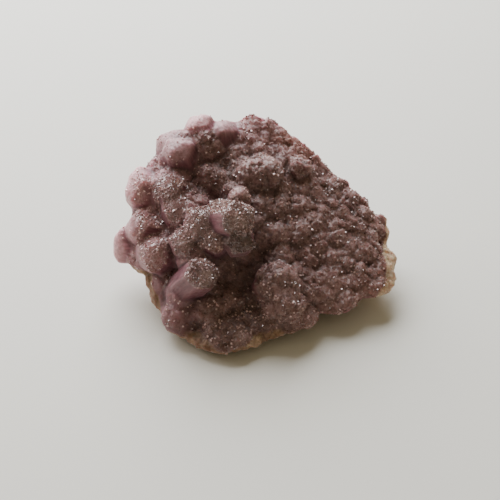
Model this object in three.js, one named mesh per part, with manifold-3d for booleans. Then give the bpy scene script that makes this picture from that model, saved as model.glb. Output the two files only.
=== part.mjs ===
// Cobaltoan calcite: a hand specimen of druzy mauve calcite, grown as one mass on its own pale matrix.
// Units are millimetres. +Z is up, the front faces -Y, and the origin lies on the resting face, under the
// middle of the specimen.
import * as THREE from "three";
import { ConvexHull } from "three/addons/math/ConvexHull.js";
import { mergeVertices } from "three/addons/utils/BufferGeometryUtils.js";
import Module from "manifold-3d";

const wasm = await Module();
wasm.setup();
const { Manifold, Mesh } = wasm;

// Driving dimensions of the mass
const HEART = new THREE.Vector3(2, 6, 7); // the point inside that the surface is measured from
const FULLNESS = 1.03; // the rounding of the edges draws the mass in, and this swells it back
const SHARPNESS = 20; // how crisply the broken faces meet
const MASS_DETAIL = 17; // subdivisions of the sphere that the mass is shaped from
const STRETCH = new THREE.Vector3(1.3, 1.05, 1); // spreads the sphere's points evenly over the longer mass
const REST_LEVEL = 0; // the underside is flat here, where the specimen rests

// The skin of the mass: rounded grains grown side by side over the druse, and low breaks on the bare matrix.
const GRAIN_SPACING = 4.6;
const GRAIN_HEIGHT = 3.4; // of a whole grain, most of which is buried in its neighbours
const GRAIN_BURIED = 0.8; // share of a grain's height that lies under the mean surface
const BREAK_HEIGHT = 1.2;
const MATRIX_TOP = 4; // below about this level the bare matrix shows

// Corners of the mass, from the crest behind to the broken rim below.
const CORNERS = {
  crest: [[-14, 24, 33], [-4, 31.5, 37.5], [3, 31.5, 37], [8.5, 30, 34], [13.5, 25, 26], [21.5, 19, 22.5]],
  left: [[-21, 18, 28], [-28, 12, 21], [-29, 7, 12], [-25, -1, 13], [-29, -3, 5.5]],
  middle: [[-7, 1, 24.5], [-13, -7, 14], [-9, -20, 8], [4, -8, 10.5], [22, 1, 15]],
  rim: [[-22, -18.5, 3], [-11, -26, 2.5], [-2, -24.5, 3.5], [10, -11.5, 4.5], [27, -6, 5.5]],
  rightEnd: [[34, 15, 14.5], [37.5, 3, 9.5], [38.5, -5, 6.5]],
  rest: [[-18, -9, -1.2], [-6, -18, -1.2], [6, -7, -1.2], [19, 5, -1.2], [16, 16, -1.2], [-5, 20, -1.2],
    [-19, 9, -1.2]],
  back: [[-8, 29, 6], [12, 27, 6], [31, 17, 6], [-23, 16, 6]],
};

// Places where the mass is drawn in: middle, span and depth.
const HOLLOWS = {
  underCentre: [[-4, -11, 13], 14, 6],
  besideCentre: [[2, -6, 20], 9, 3],
  frontValley: [[-1, -15, 9], 8, 2.5],
  slopeValley: [[14, -4, 16], 11, 1.5],
  rimNotch: [[17, -12, 5], 7, 2.5],
  leftGap: [[-27, 4, 16], 7, 2.5],
};

// The crystals that stand out of the mass: tip, compass angle and rise of the way each points, girth, length
// and turn about that way.
const CRYSTALS = {
  crestLeft: [[-15.5, 26, 38], 140, 66, 7.5, 12, 10],
  crestShoulder: [[-9.5, 26, 36.5], 110, 72, 8, 10, 40],
  upperLeftBack: [[-23, 24, 34], 160, 64, 8.5, 14, 25],
  upperLeftFront: [[-20.5, 17, 36], 215, 74, 8, 14, 5],
  leftPoint: [[-33, 14, 25], 178, 18, 10.5, 14, 30],
  leftInner: [[-22.5, 9, 30], 205, 60, 7.5, 11, 50],
  leftInnerLow: [[-22, 4.5, 26], 210, 45, 7.5, 11, 15],
  leftBack: [[-32, 4, 20], 195, 26, 8.5, 14, 35],
  leftEnd: [[-36.5, 5.5, 12.5], 186, 6, 9, 15, 0],
  leftFront: [[-27.5, -3.5, 17.5], 222, 36, 9, 15, 20],
  middleLeft: [[-18.5, -4.5, 23], 235, 56, 7.5, 14, 45],
  middleUpper: [[-14, -2.5, 27.5], 250, 58, 8.5, 12, 10],
  middleLow: [[-10.5, -6, 25], 262, 50, 7.5, 12, 30],
  centre: [[-3, -6.5, 30], -52, 30, 8.5, 14, 55],
  centreLow: [[-4, -9.5, 24], -85, 8, 7, 10, 0],
  frontTall: [[-11.8, -13.5, 20.2], -42, 52, 7.8, 16, 20],
};

// Domes on the slope and round the front: a place that each lies near, girth, height over breadth, and how
// far its middle stands out of the mass.
const DOMES = {
  frontDome: [[5.5, -11, 12], 12.5, 0.85, -1],
  lobeLeft: [[-20.5, -11.5, 9.5], 9, 0.9, -1.5],
  lobeLow: [[-21, -15, 5], 8.5, 0.9, -2],
  upperRight: [[11, 18.5, 27], 7, 0.8, -0.5],
  rightKnob: [[33, 15, 13], 5, 1, -0.5],
};

// Calcite that chokes the spaces between the crystals, two swellings of the slope and the foot of the front
// dome: the middle and the half widths of each.
const FILLS = [
  [[-14, 22.5, 29.5], [7.5, 6, 7.5]],
  [[-19, 19, 27.5], [6.5, 6, 7]],
  [[-23.5, 19, 24], [5, 6, 7]],
  [[-21, 12.5, 23.5], [7, 6, 7]],
  [[-17, 7, 21.5], [7, 7, 6]],
  [[-26, 11, 17], [6, 7, 7]],
  [[-26, 3, 11.5], [7, 6, 5]],
  [[-20, 1, 14.5], [6, 5, 6]],
  [[-15, -4, 16], [5, 5, 6]],
  [[-12.5, 16, 25], [6, 5.5, 5.5]],
  [[0.5, 15.5, 27.5], [6.5, 5.5, 5]],
  [[-4.2, 4.4, 28.2], [3, 2.8, 3.4]],
  [[6.5, -13.5, 8], [5.4, 4.5, 6]],
];

// Half the outline of a crystal in girths, from the middle of its blunt cap down its side: out and down.
const CRYSTAL_OUTLINE = [[0, 0], [0.24, 0.01], [0.4, 0.09], [0.5, 0.28], [0.51, 0.7]];
const CRYSTAL_FOOT = 0.4; // half the breadth of the buried foot, in girths
const CAP_TILT = 0.14; // how far three of the cap's corners drop under the other three

const radians = THREE.MathUtils.degToRad;
const UP = new THREE.Vector3(0, 0, 1);

function heading(compass, rise) {
  const level = Math.cos(radians(rise));
  return new THREE.Vector3(
    level * Math.cos(radians(compass)),
    level * Math.sin(radians(compass)),
    Math.sin(radians(rise)),
  );
}

// A repeatable stream of numbers between -1 and 1.
function seeded(seed) {
  let state = seed;
  return () => {
    state = (state * 16807) % 2147483647;
    return (state / 2147483647) * 2 - 1;
  };
}

const brokenFaces = new ConvexHull()
  .setFromPoints(Object.values(CORNERS).flat().map((corner) => new THREE.Vector3(...corner).sub(HEART)))
  .faces.map(({ normal, constant }) => ({ out: normal.clone(), reach: constant }));

// The point in a direction from the heart where the mass would end if its faces were smooth.
function smoothPoint(out) {
  let gauge = 0;
  for (const face of brokenFaces) {
    gauge += Math.max(0, out.dot(face.out) / face.reach) ** SHARPNESS;
  }
  return out.clone().multiplyScalar(FULLNESS * gauge ** (-1 / SHARPNESS)).add(HEART);
}

// The middles of the grains, scattered over the mass so that no two lie closer than the spacing.
function scatterGrains() {
  const random = seeded(11);
  const middles = [];
  for (let i = 0; i < 5000; i++) {
    const way = new THREE.Vector3(random(), random(), random()).multiply(STRETCH).normalize();
    const middle = smoothPoint(way);
    if (middles.every((other) => other.distanceTo(middle) > GRAIN_SPACING)) {
      middles.push(middle);
    }
  }
  return middles;
}

const grains = scatterGrains();

// How high the nearest grain stands at a point: 1 over its middle, falling round to 0 beyond its girth.
function grainHeight(point) {
  const nearest = Math.min(...grains.map((middle) => middle.distanceTo(point)));
  const away = nearest / (0.9 * GRAIN_SPACING);
  return Math.sqrt(Math.max(0, 1 - away * away));
}

// The point of the mass's surface in a direction from the heart.
function surfacePoint(way) {
  const out = way.clone().normalize();
  const point = smoothPoint(out);
  const bare = THREE.MathUtils.smoothstep(MATRIX_TOP + 2 - point.z, 0, 4);
  const relief = grainHeight(point) - GRAIN_BURIED;
  point.addScaledVector(out, relief * THREE.MathUtils.lerp(GRAIN_HEIGHT, BREAK_HEIGHT, bare));
  for (const [middle, span, depth] of Object.values(HOLLOWS)) {
    const away = point.distanceTo(new THREE.Vector3(...middle)) / (span / 2);
    point.addScaledVector(out, -depth * Math.exp(-away * away));
  }
  return point;
}

function solidOf(geometry) {
  geometry.deleteAttribute("normal");
  geometry.deleteAttribute("uv");
  const merged = mergeVertices(geometry, 1e-4);
  return new Manifold(
    new Mesh({
      numProp: 3,
      vertProperties: merged.getAttribute("position").array,
      triVerts: new Uint32Array(merged.index.array),
    }),
  );
}

function geometryOf(solid) {
  const mesh = solid.getMesh();
  const geometry = new THREE.BufferGeometry();
  geometry.setAttribute("position", new THREE.BufferAttribute(mesh.vertProperties, 3));
  geometry.setIndex(new THREE.BufferAttribute(mesh.triVerts, 1));
  geometry.computeVertexNormals();
  return geometry;
}

function mass() {
  const stone = new THREE.IcosahedronGeometry(1, MASS_DETAIL);
  const places = stone.getAttribute("position");
  const way = new THREE.Vector3();
  for (let i = 0; i < places.count; i++) {
    const point = surfacePoint(way.fromBufferAttribute(places, i).multiply(STRETCH));
    places.setXYZ(i, point.x, point.y, point.z);
  }
  return solidOf(stone);
}

// A stubby crystal, tip at the origin and foot down -Z: six sides with softened edges under a blunt cap.
function crystalShape(girth, length, random) {
  const outline = [...CRYSTAL_OUTLINE, [CRYSTAL_FOOT, length / girth], [0, length / girth]];
  const points = outline.map(([out, down]) => new THREE.Vector2(out * girth, -down * girth));
  const shape = new THREE.LatheGeometry(points.reverse(), 12).rotateX(Math.PI / 2);
  const places = shape.getAttribute("position");
  const corner = Array.from({ length: 12 }, (_, i) => (i % 2 ? 0.94 : 1.04) + 0.04 * random());
  for (let i = 0; i < places.count; i++) {
    const [x, y, z] = [places.getX(i), places.getY(i), places.getZ(i)];
    const side = (Math.round((Math.atan2(y, x) / Math.PI) * 6) + 12) % 12;
    const tilt = z > -0.5 * girth ? CAP_TILT * Math.hypot(x, y) * Math.cos((side * Math.PI) / 2) : 0;
    places.setXYZ(i, x * corner[side], y * corner[side], z + tilt);
  }
  return shape;
}

function crystal([tip, compass, rise, girth, length, turn], index) {
  const random = seeded(index * 131 + 7);
  const shape = crystalShape(girth, length, random).rotateZ(radians(turn));
  const pose = new THREE.Quaternion().setFromUnitVectors(UP, heading(compass, rise));
  return solidOf(shape.applyQuaternion(pose).translate(...tip));
}

function dome([aim, girth, height, proud]) {
  const out = new THREE.Vector3(...aim).sub(HEART).normalize();
  const sides = girth > 8 ? 14 : 10;
  const shape = new THREE.SphereGeometry(girth / 2, sides, sides / 2);
  shape.rotateX(Math.PI / 2).scale(1, 1, height);
  const pose = new THREE.Quaternion().setFromUnitVectors(UP, out);
  const middle = surfacePoint(out).addScaledVector(out, proud);
  return solidOf(shape.applyQuaternion(pose).translate(middle.x, middle.y, middle.z));
}

function filling([middle, halfWidths]) {
  const shape = new THREE.SphereGeometry(1, 12, 6).rotateX(Math.PI / 2).scale(...halfWidths);
  return solidOf(shape.translate(...middle));
}

function restCutter() {
  const block = new THREE.BoxGeometry(200, 200, 100);
  return solidOf(block.translate(0, 0, 50 + REST_LEVEL));
}

function specimen() {
  const grown = [
    ...Object.values(CRYSTALS).map(crystal),
    ...Object.values(DOMES).map(dome),
    ...FILLS.map(filling),
  ];
  return grown.reduce((solid, piece) => solid.add(piece), mass()).intersect(restCutter());
}

const calcite = new THREE.Mesh(
  geometryOf(specimen()),
  new THREE.MeshStandardMaterial({ color: "#8a6668", roughness: 0.5, metalness: 0 }),
);
calcite.name = "calcite";

const group = new THREE.Group();
group.add(calcite);
export default group;
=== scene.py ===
# %% [markdown]
# # Cobaltoan calcite
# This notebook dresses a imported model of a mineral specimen: blunt mauve crystals on the left, a slope of
# rounded grains on the right, and a pale broken matrix under both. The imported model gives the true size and
# the main forms. Blender adds what a magnifier would show: finer grains, a sugary crust of tiny crystals,
# and the changes of colour from lilac pink to brown and tan.

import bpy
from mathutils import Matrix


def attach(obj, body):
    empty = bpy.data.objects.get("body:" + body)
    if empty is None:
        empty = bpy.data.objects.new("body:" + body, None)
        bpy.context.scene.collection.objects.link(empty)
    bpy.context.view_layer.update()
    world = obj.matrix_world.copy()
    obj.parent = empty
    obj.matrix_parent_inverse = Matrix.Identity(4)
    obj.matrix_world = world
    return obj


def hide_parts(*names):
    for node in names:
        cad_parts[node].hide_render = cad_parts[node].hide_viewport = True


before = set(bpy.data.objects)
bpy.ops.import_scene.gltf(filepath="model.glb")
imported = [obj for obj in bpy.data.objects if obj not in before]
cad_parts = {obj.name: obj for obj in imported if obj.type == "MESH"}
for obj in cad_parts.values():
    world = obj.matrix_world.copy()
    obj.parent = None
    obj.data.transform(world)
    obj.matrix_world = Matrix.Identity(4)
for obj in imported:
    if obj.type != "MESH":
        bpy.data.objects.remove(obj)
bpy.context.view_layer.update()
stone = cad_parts["calcite"]
print("packed stone:", len(stone.data.polygons), "faces")

# %% Modules and the unit
import math

import bmesh
import bpy
import numpy as np
from mathutils import Matrix, Vector

MM = 0.001

# %% [markdown]
# ## The camera
# The specimen was seen from the front and well above. The camera looks at a point inside the stone from a
# fixed rise, so that its distance follows from the lens and from how much of the table one picture covers.

# %% Place the camera
CAMERA_RISE = math.radians(40)
CAMERA_TARGET = Vector((-1.6, 0.0, 15.5)) * MM
CAMERA_LENS = 82.0
CAMERA_SENSOR = 36.0
SCENE_WIDTH = 125 * MM

camera_back = Vector((0, -math.cos(CAMERA_RISE), math.sin(CAMERA_RISE)))
camera_data = bpy.data.cameras.new("camera")
camera_data.lens = CAMERA_LENS
camera_data.sensor_width = CAMERA_SENSOR
camera_data.clip_start = 1 * MM
camera = bpy.data.objects.new("camera", camera_data)
camera.rotation_mode = "QUATERNION"
camera.rotation_quaternion = (-camera_back).to_track_quat("-Z", "Y")
camera.location = CAMERA_TARGET + camera_back * SCENE_WIDTH * CAMERA_LENS / CAMERA_SENSOR
bpy.context.scene.collection.objects.link(camera)
bpy.context.scene.camera = camera
print("camera distance in mm:", round((camera.location - CAMERA_TARGET).length / MM))

# %% [markdown]
# ## Helpers for node trees
# Both the geometry and the materials below are node trees built in code. These helpers add one node at a
# time, and each input takes either a plain value or the output of another node.

# %% Add nodes to a tree
def fill(tree, socket, value):
    if isinstance(value, bpy.types.NodeSocket):
        tree.links.new(value, socket)
    else:
        socket.default_value = value


def add_node(tree, kind, inputs=None, **settings):
    node = tree.nodes.new(kind)
    for name, value in settings.items():
        setattr(node, name, value)
    for name, value in (inputs or {}).items():
        fill(tree, node.inputs[name], value)
    return node


def math_of(tree, operation, *values, clamp=False):
    inputs = dict(enumerate(values))
    return add_node(tree, "ShaderNodeMath", inputs, operation=operation, use_clamp=clamp).outputs[0]


def product(tree, first, *others):
    for other in others:
        first = math_of(tree, "MULTIPLY", first, other)
    return first


def highest(tree, first, *others):
    for other in others:
        first = math_of(tree, "MAXIMUM", first, other)
    return first


def rest_of(tree, share):
    """What a share leaves of 1."""
    return math_of(tree, "SUBTRACT", 1.0, share, clamp=True)


def swayed(tree, value, noise, amount):
    """The value, moved up or down by noise from 0 to 1, by half the amount at most."""
    return math_of(tree, "MULTIPLY_ADD", math_of(tree, "SUBTRACT", noise, 0.5), amount, value)


def vector_of(tree, operation, *values):
    node = add_node(tree, "ShaderNodeVectorMath", operation=operation)
    for socket, value in zip(node.inputs, values):
        fill(tree, socket, value)
    return node.outputs["Value" if operation in ("DOT_PRODUCT", "DISTANCE") else "Vector"]


def scaled(tree, vector, factor):
    inputs = {"Vector": vector, "Scale": factor}
    return add_node(tree, "ShaderNodeVectorMath", inputs, operation="SCALE").outputs["Vector"]


def centred(tree, vector):
    """Three numbers from 0 to 1 become three from -0.5 to 0.5."""
    return vector_of(tree, "SUBTRACT", vector, (0.5, 0.5, 0.5))


def split_of(tree, vector):
    return add_node(tree, "ShaderNodeSeparateXYZ", {"Vector": vector}).outputs


def noise_of(tree, place, scale, detail=2.0):
    """A noise texture's two outputs: one number, and three as a colour."""
    inputs = {"Vector": place, "Scale": scale, "Detail": detail}
    return add_node(tree, "ShaderNodeTexNoise", inputs).outputs


def rise_between(tree, value, low, high, start=0.0, end=1.0):
    inputs = {"Value": value, "From Min": low, "From Max": high, "To Min": start, "To Max": end}
    settings = {"interpolation_type": "SMOOTHSTEP"}
    return add_node(tree, "ShaderNodeMapRange", inputs, **settings).outputs["Result"]


def blend_of(tree, share, first, second):
    if isinstance(first, (int, float)) or getattr(first, "type", "") == "VALUE":
        inputs = {0: share, 2: first, 3: second}
        return add_node(tree, "ShaderNodeMix", inputs, data_type="FLOAT").outputs[0]
    inputs = {0: share, 6: first, 7: second}
    return add_node(tree, "ShaderNodeMix", inputs, data_type="RGBA").outputs[2]


# %% Start a tree and run it
def new_tree(name, kind, inputs, outputs):
    tree = bpy.data.node_groups.new(name, kind)
    for socket_name, socket_kind in inputs:
        tree.interface.new_socket(socket_name, in_out="INPUT", socket_type=socket_kind)
    for socket_name, socket_kind in outputs:
        tree.interface.new_socket(socket_name, in_out="OUTPUT", socket_type=socket_kind)
    return tree, tree.nodes.new("NodeGroupInput").outputs, tree.nodes.new("NodeGroupOutput").inputs


def new_geometry_tree(name, settings):
    """A tree that takes a mesh and the named settings and gives back a mesh."""
    shape = ("Geometry", "NodeSocketGeometry")
    numbers = [(setting, "NodeSocketFloat") for setting in settings]
    return new_tree(name, "GeometryNodeTree", [shape, *numbers], [shape])


def run_tree(obj, tree, values):
    modifier = obj.modifiers.new(tree.name, "NODES")
    modifier.node_group = tree
    for item in tree.interface.items_tree:
        if item.in_out == "INPUT" and item.name in values:
            modifier[item.identifier] = values[item.name]


def apply_all(obj):
    bpy.context.view_layer.update()
    depsgraph = bpy.context.evaluated_depsgraph_get()
    finished = bpy.data.meshes.new_from_object(obj.evaluated_get(depsgraph), depsgraph=depsgraph)
    obj.modifiers.clear()
    obj.data = finished
    obj.data.name = obj.name
    print(obj.name, "has", sum(len(p.vertices) - 2 for p in finished.polygons), "triangles")


# %% [markdown]
# ## The mauve of the calcite
# The colour isn't even. The crystals on the left are pinker, the slope is browner and painted lighter to the
# right as painted light, its far edge carries a painted warm glow of light through the thin stone, and every
# patch is mottled. The skin and the tiny crystals on it share this, so it is one node group that reads where a
# point lies in the stone. Here and below, a pair of numbers says where a change begins and where it is
# complete, and two more say what it goes from and to.

# %% Name the colours
def srgb(red, green, blue):
    def linear(c):
        c /= 255
        return c / 12.92 if c <= 0.04045 else ((c + 0.055) / 1.055) ** 2.4

    return (linear(red), linear(green), linear(blue), 1.0)


DRUSE_BROWN = srgb(113, 85, 83)
DRUSE_GREY = srgb(134, 105, 102)
DRUSE_PALE = srgb(160, 133, 126)
# Painted glow: light through the thin stone at its far edges.
EDGE_GLOW = srgb(142, 100, 92)
PALE_PINK = srgb(178, 134, 140)
# Paler tips: partly their own colour, partly painted highlight.
TIP_PINK_AND_HIGHLIGHT = srgb(198, 160, 164)
LILAC = srgb(138, 96, 104)
ROSE = srgb(114, 70, 80)
# Painted highlight: the whitish colour of bright spots and glints.
HIGHLIGHT_WHITE = srgb(216, 182, 180)
# Painted shade: the colour laid into crevices and hollows where shade falls.
CREVICE_SHADE = srgb(72, 51, 54)
# Painted highlight: the paler colour laid on raised ridges where light catches them.
RIDGE_HIGHLIGHT = srgb(170, 136, 130)
BROKEN_PALE = srgb(114, 88, 84)
BROKEN_ROSE = srgb(92, 65, 67)
CREAM = srgb(197, 171, 143)
OCHRE = srgb(126, 100, 78)

# %% Share the zones of colour
# Each noise is given by its scale and detail.
PATCH_NOISE = (90.0, 3.0)
SPECK_NOISE = (900.0, 2.0)
MOTTLE = 1.2
# The pink lies to the left and behind, and less far to the right where the stone is low.
PINK_LEFT = (-6 * MM, -26 * MM)
PINK_BEHIND = (17 * MM, 27 * MM)
PINK_BEHIND_SHARE = 0.9
PINK_LOW_LEVEL = 14 * MM
PINK_LOW_RETREAT = 1.1
PINK_SHARE = 0.7
PINK_SWAY = 0.8
GREY_PATCHES = (0.3, 0.75)
# Painted light: the slope's brown is made lighter towards the right, where it faces away from the main lamp.
SLOPE_PAINTED_LIGHT = (2 * MM, 14 * MM, 1.0, 1.2)
# A painted warm glow of light through the thin stone runs round the right end and along the top of the slope.
GLOW_RIGHT = (22 * MM, 32 * MM)
GLOW_BEHIND = (20 * MM, 28 * MM)
GLOW_SKEW = 0.35
GLOW_PATCHES = (0.42, 0.6, 0.15, 0.75)
LILAC_PATCHES = (0.35, 0.65)


def make_zones():
    tree, given, out = new_tree(
        "calcite_zones",
        "ShaderNodeTree",
        [("Druse", "NodeSocketFloat"), ("Mottle", "NodeSocketFloat")],
        [("Colour", "NodeSocketColor")],
    )
    place = add_node(tree, "ShaderNodeTexCoord").outputs["Object"]
    split = split_of(tree, place)
    patches = noise_of(tree, place, *PATCH_NOISE)[0]
    specks = noise_of(tree, place, *SPECK_NOISE)[0]

    low = highest(tree, math_of(tree, "SUBTRACT", PINK_LOW_LEVEL, split["Z"]), 0.0)
    leftward = math_of(tree, "MULTIPLY_ADD", low, PINK_LOW_RETREAT, split["X"])
    behind = product(tree, rise_between(tree, split["Y"], *PINK_BEHIND), PINK_BEHIND_SHARE)
    pink = highest(tree, rise_between(tree, leftward, *PINK_LEFT), behind)
    sway = math_of(tree, "MULTIPLY_ADD", patches, PINK_SWAY, -PINK_SWAY / 2)
    pink = math_of(tree, "ADD", product(tree, pink, PINK_SHARE), sway, clamp=True)

    mottled = swayed(tree, patches, specks, given["Mottle"])
    brown = blend_of(tree, rise_between(tree, mottled, *GREY_PATCHES), DRUSE_BROWN, DRUSE_GREY)
    brown = scaled(tree, brown, rise_between(tree, split["X"], *SLOPE_PAINTED_LIGHT))
    druse = blend_of(tree, pink, brown, PALE_PINK)

    skewed = math_of(tree, "MULTIPLY_ADD", split["X"], GLOW_SKEW, split["Y"])
    at_right = rise_between(tree, split["X"], *GLOW_RIGHT)
    edge = highest(tree, at_right, rise_between(tree, skewed, *GLOW_BEHIND))
    glow = product(tree, edge, rise_between(tree, patches, *GLOW_PATCHES))
    druse = blend_of(tree, glow, druse, EDGE_GLOW)
    side = blend_of(tree, rise_between(tree, patches, *LILAC_PATCHES), ROSE, LILAC)
    tree.links.new(blend_of(tree, given["Druse"], side, druse), out["Colour"])
    return tree


zones = make_zones()
print("shared group:", zones.name)

# %% [markdown]
# ## The crystals
# Calcite of this habit grows as stubby six-sided prisms under a blunt cap of three faces. Each crystal stands
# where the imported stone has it, turned the same way. A sphere is pushed out until it meets the planes of the
# prism and the cap, and because every plane counts a little near an edge, the edges come out softly rounded,
# as they are on the real ones.

# %% Say where the crystals stand
# The tip in mm, the compass angle and rise of the way it points, its girth and length in mm, and its turn.
CRYSTALS = {
    "crest_left": ((-15.5, 26, 38), 140, 66, 7.5, 12, 10),
    "crest_shoulder": ((-9.5, 26, 36.5), 110, 72, 8, 10, 40),
    "upper_left_back": ((-23, 24, 34), 160, 64, 8.5, 14, 25),
    "upper_left_front": ((-20.5, 17, 36), 215, 74, 8, 14, 5),
    "left_point": ((-33, 14, 25), 178, 18, 10.5, 14, 30),
    "left_inner": ((-22.5, 9, 30), 205, 60, 7.5, 11, 50),
    "left_inner_low": ((-22, 4.5, 26), 210, 45, 7.5, 11, 15),
    "left_back": ((-32, 4, 20), 195, 26, 8.5, 14, 35),
    "left_end": ((-36.5, 5.5, 12.5), 186, 6, 9, 15, 0),
    "left_front": ((-27.5, -3.5, 17.5), 222, 36, 9, 15, 20),
    "middle_left": ((-18.5, -4.5, 23), 235, 56, 7.5, 14, 45),
    "middle_upper": ((-14, -2.5, 27.5), 250, 58, 8.5, 12, 10),
    "middle_low": ((-10.5, -6, 25), 262, 50, 7.5, 12, 30),
    "centre": ((-3, -6.5, 30), -52, 30, 8.5, 14, 55),
    "centre_low": ((-4, -9.5, 24), -85, 8, 7, 10, 0),
    "front_tall": ((-11.8, -13.5, 20.2), -42, 52, 7.8, 16, 20),
}
# How much paler or darker some of them are than the rest: partly their own tone and partly painted light and
# shade. centre_low is darkened as painted shade under the centre crystal, and the palest ones at the crest and
# the left are partly painted light.
TONES_AND_PAINTED_SHADE = {
    "crest_left": 1.5,
    "upper_left_back": 0.95,
    "upper_left_front": 0.92,
    "left_point": 1.55,
    "left_inner": 0.85,
    "left_inner_low": 0.92,
    "left_back": 1.2,
    "left_end": 1.45,
    "left_front": 1.12,
    "middle_left": 0.76,
    "middle_upper": 0.9,
    "centre": 0.95,
    "centre_low": 0.62,
    "front_tall": 0.77,
}


def heading(compass, rise):
    compass, rise = math.radians(compass), math.radians(rise)
    level = math.cos(rise)
    return Vector((level * math.cos(compass), level * math.sin(compass), math.sin(rise)))


print("crystals to grow:", len(CRYSTALS), "of which", len(TONES_AND_PAINTED_SHADE), "have a tone of their own")

# %% Shape one crystal
SIDE_SPREAD = (0.93, 1.04)
CAP_SPREAD = (0.98, 1.02)
CAP_SLOPE = math.radians(32)
# How far the three faces lie below the tip and then outward, in girths.
CAP_DROP = 0.04
CAP_OUTWARD = 0.07
EDGE_SHARPNESS = 26
# Rounded edges draw the shape in, so it is made a little larger.
EDGE_GAIN = 1.02


def crystal_planes(girth, length, rng):
    """Outward directions and distances from the crystal's middle, in rows."""
    rows = []
    for i in range(6):
        turn = math.radians(60 * i + 30)
        rows.append((math.cos(turn), math.sin(turn), 0, girth / 2 * rng.uniform(*SIDE_SPREAD)))
    out, up = math.sin(CAP_SLOPE), math.cos(CAP_SLOPE)
    for i in range(3):
        turn = math.radians(120 * i + 60)
        reach = (length / 2 - CAP_DROP * girth) * up * rng.uniform(*CAP_SPREAD) + CAP_OUTWARD * girth
        rows.append((out * math.cos(turn), out * math.sin(turn), up, reach))
    rows.append((0, 0, 1, length / 2))
    rows.append((0, 0, -1, length / 2))
    return np.array(rows)


def crystal_points(sphere, girth, length, rng):
    planes = crystal_planes(girth, length, rng)
    shares = np.maximum(0, sphere @ planes[:, :3].T) / planes[:, 3]
    gauge = (shares**EDGE_SHARPNESS).sum(axis=1) ** (1 / EDGE_SHARPNESS)
    return sphere / gauge[:, None] * EDGE_GAIN


# %% Stand the crystals in their places
FIRST_SEED = 20
SPHERE_STEPS = 5
# Streaks run along a crystal because their pattern is stretched, and the gap keeps each crystal's apart.
STREAK_STRETCH = 0.18
STREAK_GAP = 30


def store_on_points(mesh, name, values, kind="FLOAT"):
    held = mesh.attributes.new(name, kind, "POINT")
    field = "vector" if kind == "FLOAT_VECTOR" else "value"
    held.data.foreach_set(field, np.concatenate(values).ravel().astype(np.float32))


def make_crystals():
    ball = bmesh.new()
    bmesh.ops.create_icosphere(ball, subdivisions=SPHERE_STEPS, radius=1.0)
    sphere = np.array([v.co for v in ball.verts])
    faces = np.array([[v.index for v in f.verts] for f in ball.faces])
    ball.free()
    places, corners, depths, streaks, tones_and_shades = [], [], [], [], []
    for number, (name, (tip, compass, rise, girth, length, turn)) in enumerate(CRYSTALS.items()):
        points = crystal_points(sphere, girth, length, np.random.default_rng(number + FIRST_SEED))
        depths.append(-(points[:, 2] / girth - length / girth / 2))
        streaks.append(points * (1, 1, STREAK_STRETCH) + number * STREAK_GAP)
        tones_and_shades.append(np.full(len(sphere), TONES_AND_PAINTED_SHADE.get(name, 1.0)))
        points[:, 2] -= length / 2
        pose = Vector((0, 0, 1)).rotation_difference(heading(compass, rise)).to_matrix()
        pose @= Matrix.Rotation(math.radians(turn), 3, "Z")
        corners.append(faces + number * len(sphere))
        places.append(points @ np.array(pose).T + np.array(tip))
    mesh = bpy.data.meshes.new("crystals")
    mesh.from_pydata((np.vstack(places) * MM).tolist(), [], np.vstack(corners).tolist())
    store_on_points(mesh, "below_tip", depths)
    store_on_points(mesh, "tone", tones_and_shades)
    store_on_points(mesh, "streak", streaks, "FLOAT_VECTOR")
    crystals = bpy.data.objects.new("crystals", mesh)
    bpy.context.scene.collection.objects.link(crystals)
    print("crystals:", len(CRYSTALS), "with", len(mesh.polygons), "faces")
    return crystals


crystals = make_crystals()

# %% [markdown]
# Between the crystals the spaces are choked with the same calcite. A few soft ellipsoids stand for it, so
# that only the tips and the front faces of the crystals are left free.

# %% Fill the spaces between the crystals
# The middle and the three half widths of each fill in mm.
FILLS = [
    ((-14, 22.5, 29.5), (7.5, 6, 7.5)),
    ((-19, 19, 27.5), (6.5, 6, 7)),
    ((-23.5, 19, 24), (5, 6, 7)),
    ((-21, 12.5, 23.5), (7, 6, 7)),
    ((-17, 7, 21.5), (7, 7, 6)),
    ((-26, 11, 17), (6, 7, 7)),
    ((-26, 3, 11.5), (7, 6, 5)),
    ((-20, 1, 14.5), (6, 5, 6)),
    ((-15, -4, 16), (5, 5, 6)),
    ((-12.5, 16, 25), (6, 5.5, 5.5)),
    ((0.5, 15.5, 27.5), (6.5, 5.5, 5)),
    ((-4.2, 4.4, 28.2), (3, 2.8, 3.4)),
    ((6.5, -13.5, 8), (5.4, 4.5, 6)),
]
FILL_STEPS = 4


def make_fills():
    work = bmesh.new()
    for middle, half_widths in FILLS:
        shape = Matrix.Translation(Vector(middle) * MM) @ Matrix.Diagonal((*half_widths, 1 / MM)) * MM
        shape[3][3] = 1.0
        bmesh.ops.create_icosphere(work, subdivisions=FILL_STEPS, radius=1.0, matrix=shape)
    mesh = bpy.data.meshes.new("fills")
    work.to_mesh(mesh)
    work.free()
    print("fills:", len(FILLS), "with", len(mesh.polygons), "faces")
    return bpy.data.objects.new("fills", mesh)


fills = make_fills()

# %% [markdown]
# ## The skin of the stone
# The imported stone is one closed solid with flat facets. It is joined to the fills, and then to the finer
# crystals. Each time a voxel remesh turns them into one even mesh, and a few rounds of smoothing melt the
# facets and the seams.

# %% Copy the stone as an even fine mesh
WELD = 0.001 * MM
BASE_VOXEL, BASE_ROUNDS = 0.6 * MM, 5
SKIN_VOXEL, SKIN_ROUNDS = 0.385 * MM, 4
ROUND_STRENGTH = 0.5


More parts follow.
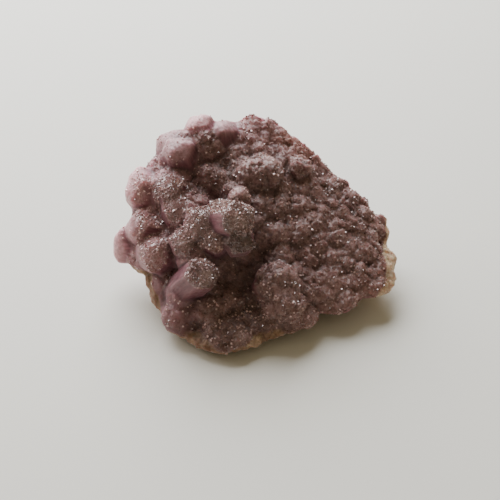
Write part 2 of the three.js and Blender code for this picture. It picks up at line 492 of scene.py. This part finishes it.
def fine_copy(name, voxel, rounds, *sources):
    work = bmesh.new()
    for source in sources:
        work.from_mesh(source.data)
    bmesh.ops.remove_doubles(work, verts=work.verts, dist=WELD)
    mesh = bpy.data.meshes.new(name)
    work.to_mesh(mesh)
    work.free()
    copy = bpy.data.objects.new(name, mesh)
    bpy.context.scene.collection.objects.link(copy)
    remesh = copy.modifiers.new("even", "REMESH")
    remesh.mode = "VOXEL"
    remesh.voxel_size = voxel
    smooth = copy.modifiers.new("melt", "SMOOTH")
    smooth.factor = ROUND_STRENGTH
    smooth.iterations = rounds
    return copy


base = fine_copy("base", BASE_VOXEL, BASE_ROUNDS, stone, fills)
apply_all(base)
skin = fine_copy("calcite_skin", SKIN_VOXEL, SKIN_ROUNDS, base, crystals)

# %% [markdown]
# ## Growth on the skin
# A Geometry Nodes tree grows rounded grains on all but the crystals. Each grain also leans its own way, which
# catches the light unevenly. Behind, where the specimen was broken off, flat chips that lean take the place
# of the grains. The tree first works out masks, numbers from 0 to 1 that say how surely a point is druse,
# bare matrix, broken face or crystal. It stores them on the mesh, because the materials need the same ones.

# %% Mask the crystals, the matrix and the painted highlights
# A scale and a detail for the noise that makes the limits of every mask wander.
WANDER_NOISE = (160.0, 2.0)
CRYSTAL_GAP = (0.9 * MM, 0.35 * MM)
MATRIX_TOP = (28 * MM, 35 * MM, 4.2 * MM, 13 * MM)
MATRIX_CORNER = (-22 * MM, -27 * MM, 0.0, 7 * MM)
MATRIX_WANDER = 9 * MM
MATRIX_EDGE = (-0.4 * MM, 0.8 * MM)
# Places in mm where a painted highlight makes the druse whiter.
HIGHLIGHT_SPOTS = {
    "upper_arc": (4, 17, 32.5),
    "small_lump": (-4.5, 4, 31),
    "centre_crystal": (-4.5, -6, 30.5),
    "middle_crystals": (-17.5, -5.5, 23.5),
    "front_crystal": (-11.5, -14.5, 19.5),
    "low_front": (-3, -21, 7.5),
}
HIGHLIGHT_REACH = (5.6 * MM, 3.4 * MM)
HIGHLIGHT_WANDER = 5 * MM


def nearest_value(tree, guide, place, name, kind):
    held = add_node(tree, "GeometryNodeInputNamedAttribute", {"Name": name}, data_type=kind)
    inputs = {"Mesh": guide, "Value": held.outputs[0], "Sample Position": place}
    return add_node(tree, "GeometryNodeSampleNearestSurface", inputs, data_type=kind).outputs["Value"]


def near_crystals(tree, place):
    """How surely a point lies on a crystal, its depth below the tip in girths, its streak, and its tone, which
    is partly painted light and shade.
    """
    guide = add_node(tree, "GeometryNodeObjectInfo", {"Object": crystals}).outputs["Geometry"]
    gap = add_node(tree, "GeometryNodeProximity", {"Geometry": guide}, target_element="FACES")
    on_crystal = rise_between(tree, gap.outputs["Distance"], *CRYSTAL_GAP)
    below_tip = nearest_value(tree, guide, place, "below_tip", "FLOAT")
    streak = nearest_value(tree, guide, place, "streak", "FLOAT_VECTOR")
    tone = blend_of(tree, on_crystal, 1.0, nearest_value(tree, guide, place, "tone", "FLOAT"))
    return on_crystal, below_tip, streak, tone


def matrix_mask(tree, place, wander):
    """1 where the bare matrix shows: round the foot, and higher up at both low ends."""
    split = split_of(tree, place)
    below = math_of(tree, "SUBTRACT", rise_between(tree, split["X"], *MATRIX_TOP), split["Z"])
    below = math_of(tree, "ADD", below, rise_between(tree, split["X"], *MATRIX_CORNER))
    return rise_between(tree, swayed(tree, below, wander, MATRIX_WANDER), *MATRIX_EDGE)


def highlight_mask(tree, place, wander):
    """1 in patches round the places of the painted highlights."""
    mask = 0.0
    for middle in HIGHLIGHT_SPOTS.values():
        away = vector_of(tree, "DISTANCE", place, tuple(Vector(middle) * MM))
        away = math_of(tree, "MULTIPLY_ADD", wander, HIGHLIGHT_WANDER, away)
        mask = highest(tree, mask, rise_between(tree, away, *HIGHLIGHT_REACH))
    return mask


# %% Mask the druse
DRUSE_FACING = (0.35, -0.45, 0.82)
DRUSE_WANDER = 0.5
DRUSE_TURN = (0.15, 0.55)
# On the crystals the druse keeps to the caps and to what looks up.
CAP_DEPTH = (0.26, 0.06)
CAP_WANDER = -0.4
CAP_FACING = (0.1, 0.0, 0.995)
CAP_TURN = (0.42, 0.72)
CAP_DRUSE_TURN = (0.3, 0.6)
# Behind and at the far left the crystals are nearly free of druse, and their tips are paler, partly in their
# own colour and partly as a painted highlight of light through the thin tips.
BEHIND_FREE = (9 * MM, 15 * MM)
LEFT_FREE = (-28 * MM, -32 * MM)
FREE_SHARE = 0.97
TIP_DEPTH = (0.45, 0.0)
TIP_SHARE, TIP_SHARE_FREE = 0.12, 0.5
# The lobes at the lower left are smooth and carry little druse.
LOBES_MIDDLE = tuple(Vector((-22, -13, 8)) * MM)
LOBES_REACH = (13 * MM, 9 * MM, 0.0, 0.6)
LOBES_WANDER = 6 * MM
LOBES_FREE = 0.9


def cap_masks(tree, place, facing, ragged, wander, near):
    """The druse on the caps, and how pale each tip is, partly its own colour and partly painted highlight."""
    on_crystal, below_tip = near
    split = split_of(tree, place)
    depth = math_of(tree, "MULTIPLY_ADD", wander, CAP_WANDER, below_tip)
    upward = vector_of(tree, "DOT_PRODUCT", facing, CAP_FACING)
    cap = highest(tree, rise_between(tree, depth, *CAP_DEPTH), rise_between(tree, upward, *CAP_TURN))
    druse = product(tree, cap, rise_between(tree, ragged, *CAP_DRUSE_TURN))
    behind = rise_between(tree, split["Y"], *BEHIND_FREE)
    away = highest(tree, behind, rise_between(tree, split["X"], *LEFT_FREE))
    druse = product(tree, druse, math_of(tree, "MULTIPLY_ADD", away, -FREE_SHARE, 1.0))
    tip = product(tree, rise_between(tree, below_tip, *TIP_DEPTH), on_crystal)
    tip = product(tree, tip, math_of(tree, "MULTIPLY_ADD", away, TIP_SHARE_FREE, TIP_SHARE))
    return druse, tip


def lobe_mask(tree, place, wander):
    away = vector_of(tree, "DISTANCE", place, LOBES_MIDDLE)
    return rise_between(tree, math_of(tree, "MULTIPLY_ADD", wander, LOBES_WANDER, away), *LOBES_REACH)


# %% Find the cavities and the broken back
FACING_ROUNDS = 3
# The cavity mask only places painted shade in hollows and a painted highlight on ridges.
CAVITY_ROUNDS = 90
CAVITY_DEPTH = (-0.7 * MM, 0.8 * MM)
BROKEN_TURN = (0.25, 0.5)
BROKEN_WANDER = 0.8


def blurred(tree, vector, rounds):
    blur = add_node(tree, "GeometryNodeBlurAttribute", data_type="FLOAT_VECTOR")
    fill(tree, [s for s in blur.inputs if s.type == "VECTOR"][0], vector)
    fill(tree, blur.inputs["Iterations"], rounds)
    return [s for s in blur.outputs if s.type == "VECTOR"][0]


def make_masks(tree, place, normal):
    """Every mask by name. The growth alone needs open_druse and smooth."""
    facing = blurred(tree, normal, FACING_ROUNDS)
    sunk = vector_of(tree, "SUBTRACT", blurred(tree, place, CAVITY_ROUNDS), place)
    wander = noise_of(tree, place, *WANDER_NOISE)[0]
    on_crystal, below_tip, streak, tone = near_crystals(tree, place)
    off_crystal = rest_of(tree, on_crystal)

    toward = vector_of(tree, "DOT_PRODUCT", facing, DRUSE_FACING)
    ragged = math_of(tree, "MULTIPLY_ADD", wander, DRUSE_WANDER, toward)
    near = (on_crystal, below_tip)
    cap_druse, tip = cap_masks(tree, place, facing, ragged, wander, near)
    smooth = lobe_mask(tree, place, wander)
    kept = math_of(tree, "MULTIPLY_ADD", smooth, -LOBES_FREE, 1.0)
    open_druse = product(tree, rise_between(tree, ragged, *DRUSE_TURN), kept)
    behind = swayed(tree, split_of(tree, facing)["Y"], wander, BROKEN_WANDER)
    return {
        "druse": blend_of(tree, on_crystal, open_druse, cap_druse),
        "matrix": product(tree, matrix_mask(tree, place, wander), off_crystal),
        "broken": product(tree, rise_between(tree, behind, *BROKEN_TURN), off_crystal),
        "crystal": on_crystal,
        "cavity": rise_between(tree, vector_of(tree, "DOT_PRODUCT", sunk, normal), *CAVITY_DEPTH),
        "tip": tip,
        "tone": tone,
        "frost": highlight_mask(tree, place, wander),
        "streak": streak,
        "open_druse": open_druse,
        "smooth": smooth,
    }


# %% Raise grains, sugar, chips and crumbs
GRAINS = {
    "Grain size": 3.3 * MM,
    "Grain height": 0.8 * MM,
    "Fine size": 1.5 * MM,
    "Fine height": 0.34 * MM,
}
GRAIN_LEAN = 0.34
GRAIN_ROUNDNESS = 2.0
# A dome is raised over the skin by the part of it that is above this share.
SUNKEN_SHARE = 0.6
DRIFT_SCALE = 300.0
DRIFT = 1.0 * MM
SUGAR_SIZE = 0.55 * MM
SUGAR_HEIGHT = 0.13 * MM
CHIP_SIZE = 5.5 * MM
CHIP_LEAN = 0.48
SMALL_CHIP_SIZE = CHIP_SIZE / 2.3
SMALL_CHIP_LEAN = 0.26
CRUMB_NOISE = (500.0, 4.0)
CRUMB_HEIGHT = 1.8 * MM
CRUMBS_ON_BROKEN = 0.4
# The shares of the grains that crystals and bare places go without.
CRYSTAL_FREE = 0.93
BARE_FREE = 0.7
FINE_WEAR = 0.5
# Far enough down and to the sides to leave all but the height as it is.
FLOOR = (-1.0, -1.0, 0.0)


def cells_of(tree, place, size):
    scale = math_of(tree, "DIVIDE", 1.0, size)
    return add_node(tree, "ShaderNodeTexVoronoi", {"Vector": place, "Scale": scale}).outputs


def cell_dome(tree, place, size):
    """1 over the middle of each scattered cell, falling round towards its edge."""
    away = cells_of(tree, place, size)["Distance"]
    return rest_of(tree, math_of(tree, "POWER", away, GRAIN_ROUNDNESS))


def leaning_cells(tree, place, size, steepness):
    """The height of flat faces: each scattered cell is a plane that leans its own way."""
    cells = cells_of(tree, place, size)
    lean = scaled(tree, centred(tree, cells["Color"]), steepness)
    return vector_of(tree, "DOT_PRODUCT", vector_of(tree, "SUBTRACT", place, cells["Position"]), lean)


def lift_of(tree, dome, height):
    return product(tree, math_of(tree, "SUBTRACT", dome, SUNKEN_SHARE), height)


def sum_of(tree, first, *others):
    for other in others:
        first = math_of(tree, "ADD", first, other)
    return first


def growth(tree, given, place, masks):
    """How far each point moves outward, and how deep it lies in a crevice."""
    drift = centred(tree, noise_of(tree, place, DRIFT_SCALE)[1])
    strayed = vector_of(tree, "ADD", place, scaled(tree, drift, DRIFT))
    coarse = cell_dome(tree, strayed, given["Grain size"])
    fine = cell_dome(tree, strayed, given["Fine size"])
    bare = highest(tree, masks["matrix"], masks["broken"], masks["smooth"])
    grown_on_crystal = math_of(tree, "MULTIPLY_ADD", masks["crystal"], -CRYSTAL_FREE, 1.0)
    grown = product(tree, grown_on_crystal, math_of(tree, "MULTIPLY_ADD", bare, -BARE_FREE, 1.0))

    fine_lumps = product(tree, lift_of(tree, fine, given["Fine height"]), masks["open_druse"])
    leaning = leaning_cells(tree, strayed, given["Grain size"], GRAIN_LEAN)
    leaning = product(tree, leaning, masks["open_druse"])
    lumps = sum_of(tree, lift_of(tree, coarse, given["Grain height"]), fine_lumps, leaning)
    lumps = product(tree, lumps, grown)
    sugar = product(tree, lift_of(tree, cell_dome(tree, place, SUGAR_SIZE), SUGAR_HEIGHT), masks["druse"])

    large_chips = leaning_cells(tree, place, CHIP_SIZE, CHIP_LEAN)
    small_chips = leaning_cells(tree, place, SMALL_CHIP_SIZE, SMALL_CHIP_LEAN)
    chips = product(tree, math_of(tree, "ADD", large_chips, small_chips), masks["broken"])
    rough = noise_of(tree, place, *CRUMB_NOISE)[0]
    crumbly = highest(tree, masks["matrix"], product(tree, masks["broken"], CRUMBS_ON_BROKEN))
    crumbs = product(tree, math_of(tree, "SUBTRACT", rough, 0.5), CRUMB_HEIGHT, crumbly)
    lift = math_of(tree, "ADD", sum_of(tree, lumps, sugar), sum_of(tree, chips, crumbs))

    # The crevice depth is only used for the painted shade in the skin.
    worn = product(tree, coarse, math_of(tree, "MULTIPLY_ADD", fine, FINE_WEAR, 1.0 - FINE_WEAR))
    crevice = product(tree, rest_of(tree, worn), grown_on_crystal, rest_of(tree, masks["broken"]))
    return lift, crevice


# %% Grow the skin
GROWTH_ONLY = ("open_druse", "smooth")


def store_mask(tree, shape, name, value):
    kind = "FLOAT_VECTOR" if name == "streak" else "FLOAT"
    inputs = {"Geometry": shape, "Name": name, "Value": value}
    return add_node(tree, "GeometryNodeStoreNamedAttribute", inputs, data_type=kind).outputs[0]


def make_growth():
    tree, given, out = new_geometry_tree("grow_grains", GRAINS)
    place = add_node(tree, "GeometryNodeInputPosition").outputs[0]
    normal = add_node(tree, "GeometryNodeInputNormal").outputs[0]
    masks = make_masks(tree, place, normal)
    lift, crevice = growth(tree, given, place, masks)
    moved = vector_of(tree, "ADD", place, scaled(tree, normal, lift))
    moved = vector_of(tree, "MAXIMUM", moved, FLOOR)
    shape = given["Geometry"]
    for name, value in (masks | {"crevice": crevice}).items():
        if name not in GROWTH_ONLY:
            shape = store_mask(tree, shape, name, value)
    shaped = add_node(tree, "GeometryNodeSetPosition", {"Geometry": shape, "Position": moved})
    tree.links.new(shaped.outputs[0], out["Geometry"])
    return tree


run_tree(skin, make_growth(), GRAINS)
apply_all(skin)
for helper in (base, crystals, fills):
    bpy.data.objects.remove(helper)
skin.data.shade_smooth()

# %% [markdown]
# ## The sugary druse
# Tiny calcite rhombs cover every face that looked up while they grew, and their flat faces give the sparkle.
# Each is a cube drawn out along its body diagonal. Geometry Nodes scatter them on the skin where the druse
# mask is high, and stand each one with its long diagonal along the surface normal. Then they lean. The lean
# comes mostly from a noise that neighbours share, so that a small patch of them flashes together.

# %% Shape one rhomb
DRUSE = {
    "Spacing": 0.3 * MM,
    "Density": 9e6,
    "Smallest": 0.16 * MM,
    "Largest": 0.42 * MM,
    "Stretch": 0.35,
}


def make_rhomb(tree, stretch):
    cube = add_node(tree, "GeometryNodeMeshCube", {"Size": (1.0, 1.0, 1.0)}).outputs["Mesh"]
    place = add_node(tree, "GeometryNodeInputPosition").outputs[0]
    diagonal = tuple(Vector((1, 1, 1)).normalized())
    along = vector_of(tree, "DOT_PRODUCT", place, diagonal)
    push = scaled(tree, diagonal, product(tree, along, stretch))
    rhomb = add_node(tree, "GeometryNodeSetPosition", {"Geometry": cube, "Offset": push}).outputs[0]
    upright = Vector((1, 1, 1)).rotation_difference(Vector((0, 0, 1))).to_euler()
    turned = {"Geometry": rhomb, "Rotation": tuple(upright)}
    return add_node(tree, "GeometryNodeTransform", turned).outputs[0]


# %% Scatter the druse in Geometry Nodes
SPOT_SEED, LEAN_SEED, SIZE_SEED = 7, 8, 9
PATCH_SIZE = 1.6 * MM
PATCH_LEAN = 4.0
LEAN_JITTER = 0.22
# Away from the crystals the rhombs are thinly spread, and a little thicker low at the front.
THIN_SHARE = 0.2
LOW_FRONT_THICKER = (-8 * MM, -16 * MM, 0.0, 0.5)
# A power over 1 makes small rhombs more common than large ones.
SMALLNESS = 2.2


def read_mask(tree, name):
    inputs = {"Name": name}
    return add_node(tree, "GeometryNodeInputNamedAttribute", inputs, data_type="FLOAT").outputs[0]


def spread_points(tree, given, place):
    low_front = rise_between(tree, split_of(tree, place)["Y"], *LOW_FRONT_THICKER)
    thick = highest(tree, read_mask(tree, "crystal"), low_front)
    thick = math_of(tree, "MULTIPLY_ADD", thick, 1.0 - THIN_SHARE, THIN_SHARE)
    wanted = product(tree, read_mask(tree, "druse"), rest_of(tree, read_mask(tree, "matrix")), thick)
    inputs = {
        "Mesh": given["Geometry"],
        "Distance Min": given["Spacing"],
        "Density Max": given["Density"],
        "Density Factor": wanted,
        "Seed": SPOT_SEED,
    }
    kind = "GeometryNodeDistributePointsOnFaces"
    return add_node(tree, kind, inputs, distribute_method="POISSON").outputs


def leaned(tree, place, rotation):
    """The rotation, leaned by a noise that neighbours share and a little by chance."""
    span = {0: (-LEAN_JITTER,) * 3, 1: (LEAN_JITTER,) * 3, "Seed": LEAN_SEED}
    jitter = add_node(tree, "FunctionNodeRandomValue", span, data_type="FLOAT_VECTOR").outputs[0]
    shared = centred(tree, noise_of(tree, place, 1 / PATCH_SIZE)[1])
    lean = vector_of(tree, "ADD", scaled(tree, shared, PATCH_LEAN), jitter)
    inputs = {"Rotation": rotation, "Rotate By": lean}
    return add_node(tree, "FunctionNodeRotateRotation", inputs, rotation_space="LOCAL").outputs[0]


def make_scatter(material):
    tree, given, out = new_geometry_tree("scatter_druse", DRUSE)
    place = add_node(tree, "GeometryNodeInputPosition").outputs[0]
    points = spread_points(tree, given, place)
    span = {2: 0.0, 3: 1.0, "Seed": SIZE_SEED}
    chance = add_node(tree, "FunctionNodeRandomValue", span, data_type="FLOAT").outputs[1]
    size_share = math_of(tree, "POWER", chance, SMALLNESS)
    inputs = {
        "Points": points["Points"],
        "Instance": make_rhomb(tree, given["Stretch"]),
        "Rotation": leaned(tree, place, points["Rotation"]),
        "Scale": blend_of(tree, size_share, given["Smallest"], given["Largest"]),
    }
    placed = add_node(tree, "GeometryNodeInstanceOnPoints", inputs).outputs[0]
    tint = {"Geometry": placed, "Name": "tint", "Value": chance}
    settings = {"data_type": "FLOAT", "domain": "INSTANCE"}
    placed = add_node(tree, "GeometryNodeStoreNamedAttribute", tint, **settings).outputs[0]
    real = add_node(tree, "GeometryNodeRealizeInstances", {"Geometry": placed}).outputs[0]
    painted = add_node(tree, "GeometryNodeSetMaterial", {"Geometry": real, "Material": material})
    tree.links.new(painted.outputs[0], out["Geometry"])
    return tree


# %% [markdown]
# ## The materials
# Calcite lets some light in, so both materials scatter light under the surface. The skin takes the shared
# mauve, a pale tan where the matrix is bare, and a darker rose where the back is broken. It carries painted
# shade in crevices and hollows, painted highlights on ridges and round a few bright spots, and paler tips
# that are partly their own colour and partly painted highlight. Streaks run along the bare sides of the
# crystals.

# %% Start a material
def start_material(name):
    material = bpy.data.materials.new(name)
    material.use_nodes = True
    tree = material.node_tree
    tree.nodes.clear()
    shader = add_node(tree, "ShaderNodeBsdfPrincipled")
    surface = add_node(tree, "ShaderNodeOutputMaterial")
    tree.links.new(shader.outputs[0], surface.inputs["Surface"])
    return material, tree, shader


def mask_of(tree, name):
    return add_node(tree, "ShaderNodeAttribute", attribute_name=name).outputs["Fac"]


def zone_colour(tree, druse):
    node = tree.nodes.new("ShaderNodeGroup")
    node.node_tree = zones
    fill(tree, node.inputs["Druse"], druse)
    fill(tree, node.inputs["Mottle"], MOTTLE)
    return node.outputs["Colour"]


# %% Paint the skin
STAIN_NOISE = (260.0, 5.0)
OCHRE_RIGHT = (22 * MM, 32 * MM, -0.12, 0.2)
OCHRE_PATCHES = (0.35, 0.6)
# Painted shade darkens the crevices between the grains and the hollows.
CREVICE_SHADE_RANGE, CREVICE_SHADE_SHARE = (0.3, 0.95), 0.3
HOLLOW_SHADE_RANGE, HOLLOW_SHADE_SHARE = (0.5, 1.0), 0.45
# Painted highlight makes the raised ridges paler.
RIDGE_HIGHLIGHT_RANGE, RIDGE_HIGHLIGHT_SHARE = (0.42, 0.0), 0.12
# Painted highlight whitens the skin round a few bright spots.
SKIN_HIGHLIGHT_SHARE = 0.3
BROKEN_PATCHES, BROKEN_SHARE = (0.4, 0.6), 0.9


def paint_skin(tree, place, masks):
    stain = noise_of(tree, place, *STAIN_NOISE)[0]
    toward_right = rise_between(tree, split_of(tree, place)["X"], *OCHRE_RIGHT)
    end = math_of(tree, "SUBTRACT", stain, toward_right)
    tan = blend_of(tree, rise_between(tree, end, *OCHRE_PATCHES), CREAM, OCHRE)
    torn = blend_of(tree, rise_between(tree, stain, *BROKEN_PATCHES), BROKEN_PALE, BROKEN_ROSE)
    crevice = rise_between(tree, masks["crevice"], *CREVICE_SHADE_RANGE)
    hollow_shade = rise_between(tree, masks["cavity"], *HOLLOW_SHADE_RANGE)
    ridge_highlight = rise_between(tree, masks["cavity"], *RIDGE_HIGHLIGHT_RANGE)
    layers = [
        (masks["matrix"], tan),
        (product(tree, crevice, CREVICE_SHADE_SHARE), CREVICE_SHADE),
        (product(tree, hollow_shade, HOLLOW_SHADE_SHARE), CREVICE_SHADE),
        (product(tree, ridge_highlight, RIDGE_HIGHLIGHT_SHARE), RIDGE_HIGHLIGHT),
        # Paler tips: partly their own colour, partly painted highlight.
        (masks["tip"], TIP_PINK_AND_HIGHLIGHT),
        (product(tree, masks["frost"], SKIN_HIGHLIGHT_SHARE), HIGHLIGHT_WHITE),
        (product(tree, masks["broken"], BROKEN_SHARE), torn),
    ]
    colour = zone_colour(tree, masks["druse"])
    for share, paint in layers:
        colour = blend_of(tree, share, colour, paint)
    # Each crystal's tone, partly its own and partly painted light and shade.
    return scaled(tree, colour, masks["tone"])


# %% Mix the skin
# Small facets, too fine to model, tilt the surface and change its tone a little.
FACET_SIZES = (0.45 * MM, 0.9 * MM)
FACET_TONE = (-0.7, 0.7, 0.8, 1.2)
FACET_TILT, FACET_TILT_DRUSE = 0.1, 0.42
STREAK_NOISE = (1.6, 3.0)
STREAK_TONE = (0.3, 0.7, 0.78, 1.14)
BUMP_NOISE = (900.0, 4.0)
BUMP = {"Strength": 0.6, "Distance": 0.25 * MM}
ROUGHNESS, CAP_ROUGHNESS, MATRIX_ROUGHNESS = 0.46, 0.26, 0.8
SPECULAR, CAP_SPECULAR = 0.32, 0.8
SCATTER, BROKEN_SCATTER = 0.9, 0.25
SCATTER_COLOUR = (1.0, 0.7, 0.8)
SCATTER_DEPTH = 3.2 * MM
SKIN_MASKS = ("druse", "matrix", "crevice", "cavity", "tip", "frost", "broken", "tone", "crystal")


def facets_of(tree, place):
    """A lean that changes from one small facet to the next."""
    leans = []
    for size in FACET_SIZES:
        cells = add_node(tree, "ShaderNodeTexVoronoi", {"Vector": place, "Scale": 1 / size}).outputs
        leans.append(centred(tree, cells["Color"]))
    return vector_of(tree, "ADD", *leans)


def mix_skin():
    material, tree, shader = start_material("calcite_skin")
    masks = {name: mask_of(tree, name) for name in SKIN_MASKS}
    place = add_node(tree, "ShaderNodeTexCoord").outputs["Object"]
    streak = add_node(tree, "ShaderNodeAttribute", attribute_name="streak").outputs["Vector"]
    streaky = noise_of(tree, streak, *STREAK_NOISE)[0]
    side = rest_of(tree, highest(tree, masks["druse"], masks["matrix"], masks["broken"]))
    facets = facets_of(tree, place)

    colour = paint_skin(tree, place, masks)
    streak_tone = rise_between(tree, streaky, *STREAK_TONE)
    colour = scaled(tree, colour, blend_of(tree, side, 1.0, streak_tone))
    chance = product(tree, split_of(tree, facets)["X"], masks["druse"])
    colour = scaled(tree, colour, rise_between(tree, chance, *FACET_TONE))

    height = noise_of(tree, place, *BUMP_NOISE)[0]
    height = math_of(tree, "ADD", height, product(tree, streaky, side))
    smooth = add_node(tree, "ShaderNodeBump", {"Height": height, **BUMP}).outputs[0]
    steepness = math_of(tree, "MULTIPLY_ADD", masks["druse"], FACET_TILT_DRUSE, FACET_TILT)
    tilted = vector_of(tree, "ADD", smooth, scaled(tree, facets, steepness))

    cap = product(tree, masks["crystal"], masks["druse"])
    gloss = blend_of(tree, cap, ROUGHNESS, CAP_ROUGHNESS)
    shader.subsurface_method = "RANDOM_WALK"
    shader.inputs["Subsurface Radius"].default_value = SCATTER_COLOUR
    shader.inputs["Subsurface Scale"].default_value = SCATTER_DEPTH
    linked = {
        "Base Color": colour,
        "Normal": vector_of(tree, "NORMALIZE", tilted),
        "Specular IOR Level": blend_of(tree, cap, SPECULAR, CAP_SPECULAR),
        "Roughness": blend_of(tree, masks["matrix"], gloss, MATRIX_ROUGHNESS),
        "Subsurface Weight": blend_of(tree, masks["broken"], SCATTER, BROKEN_SCATTER),
    }
    for name, value in linked.items():
        fill(tree, shader.inputs[name], value)
    return material


# %% [markdown]
# The druse is the same mauve, but clearer and glossier than the skin, and it is painted paler to offset the
# shade on its small faces. Some of its rhombs are painted whiter in clumps, as painted glints.

# %% Mix the druse
# Painted light: the rhombs are made paler than the skin, so that the shade on their small faces doesn't read
# as dark dots.
DRUSE_PAINTED_LIGHT_SHARE = 0.3
DRUSE_HIGHLIGHT_SHARE = 0.5
# Painted glints: rhombs made whiter in clumps where facets would flash.
GLINT_RHOMBS = (0.55, 1.0)
CLUMP_SCALE = 450.0
CLUMPS = (0.45, 0.62)
DRUSE_SURFACE = {
    "Roughness": 0.17,
    "Specular IOR Level": 0.75,
    "Subsurface Weight": 0.2,
    "Subsurface Radius": (1.0, 0.6, 0.55),
    "Subsurface Scale": 0.5 * MM,
}


def mix_druse():
    material, tree, shader = start_material("druse")
    colour = blend_of(tree, DRUSE_PAINTED_LIGHT_SHARE, zone_colour(tree, 1.0), DRUSE_PALE)
    colour = blend_of(tree, mask_of(tree, "tip"), colour, TIP_PINK_AND_HIGHLIGHT)
    highlighted = product(tree, mask_of(tree, "frost"), DRUSE_HIGHLIGHT_SHARE)
    colour = blend_of(tree, highlighted, colour, HIGHLIGHT_WHITE)
    place = add_node(tree, "ShaderNodeTexCoord").outputs["Object"]
    clumps = rise_between(tree, noise_of(tree, place, CLUMP_SCALE)[0], *CLUMPS)
    glinting = product(tree, rise_between(tree, mask_of(tree, "tint"), *GLINT_RHOMBS), clumps)
    colour = blend_of(tree, glinting, colour, HIGHLIGHT_WHITE)
    # The same per-crystal tone, partly its own and partly painted light and shade.
    fill(tree, shader.inputs["Base Color"], scaled(tree, colour, mask_of(tree, "tone")))
    for name, value in DRUSE_SURFACE.items():
        shader.inputs[name].default_value = value
    return material


skin.data.materials.clear()
skin.data.materials.append(mix_skin())
druse_material = mix_druse()
print("materials:", skin.data.materials[0].name, "and", druse_material.name)

# %% Make the druse from the finished skin
druse = bpy.data.objects.new("druse", skin.data.copy())
bpy.context.scene.collection.objects.link(druse)
run_tree(druse, make_scatter(druse_material), DRUSE)
apply_all(druse)

# %% [markdown]
# ## Table and light
# The stone stands on a plain pale table. A broad soft light hangs behind it to the left, so that the caps of
# the crystals catch it and the shadow falls to the front. A weaker one hangs far to the left, and a weak even
# light fills the rest.

# %% Lay the table
TABLE_SIDE = 3.0
TABLE_COLOUR = srgb(223, 221, 215)
TABLE_ROUGHNESS = 0.7


def lay_table():
    mesh = bpy.data.meshes.new("table")
    half = TABLE_SIDE / 2
    corners = [(-half, -half, 0), (half, -half, 0), (half, half, 0), (-half, half, 0)]
    mesh.from_pydata(corners, [], [(0, 1, 2, 3)])
    table = bpy.data.objects.new("table", mesh)
    bpy.context.scene.collection.objects.link(table)
    material, _, shader = start_material("table")
    shader.inputs["Base Color"].default_value = TABLE_COLOUR
    shader.inputs["Roughness"].default_value = TABLE_ROUGHNESS
    mesh.materials.append(material)


lay_table()
print("table side in m:", TABLE_SIDE)

# %% Hang the lights
# The place in m, the width in m, the power in watts and the colour of each.
LIGHTS = {
    "window": ((-0.13, 0.41, 0.37), 0.6, 9.3, (0.96, 0.985, 1.0)),
    "fill": ((-0.6, 0.25, 0.35), 0.4, 2.0, (1.0, 0.97, 0.95)),
}
LIGHT_AIM = Vector((0, 0, 0.01))
ROOM_COLOUR = (1.0, 0.855, 0.56, 1.0)
ROOM_STRENGTH = 0.29

for light_name, (light_place, light_width, watts, light_colour) in LIGHTS.items():
    light_data = bpy.data.lights.new(light_name, "AREA")
    light_data.shape = "DISK"
    light_data.size = light_width
    light_data.energy = watts
    light_data.color = light_colour
    light = bpy.data.objects.new(light_name, light_data)
    light.location = light_place
    light.rotation_mode = "QUATERNION"
    light.rotation_quaternion = (LIGHT_AIM - Vector(light_place)).to_track_quat("-Z", "Y")
    bpy.context.scene.collection.objects.link(light)

world = bpy.data.worlds.new("room")
world.use_nodes = True
world.node_tree.nodes["Background"].inputs["Color"].default_value = ROOM_COLOUR
world.node_tree.nodes["Background"].inputs["Strength"].default_value = ROOM_STRENGTH
bpy.context.scene.world = world
print("lights:", ", ".join(LIGHTS), "and the room")

# %% [markdown]
# ## Attach the pieces
# Both meshes ride on the specimen's only body and stand for its imported solid.

# %% Attach the pieces
for piece in (skin, druse):
    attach(piece, "root")
    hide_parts("calcite")
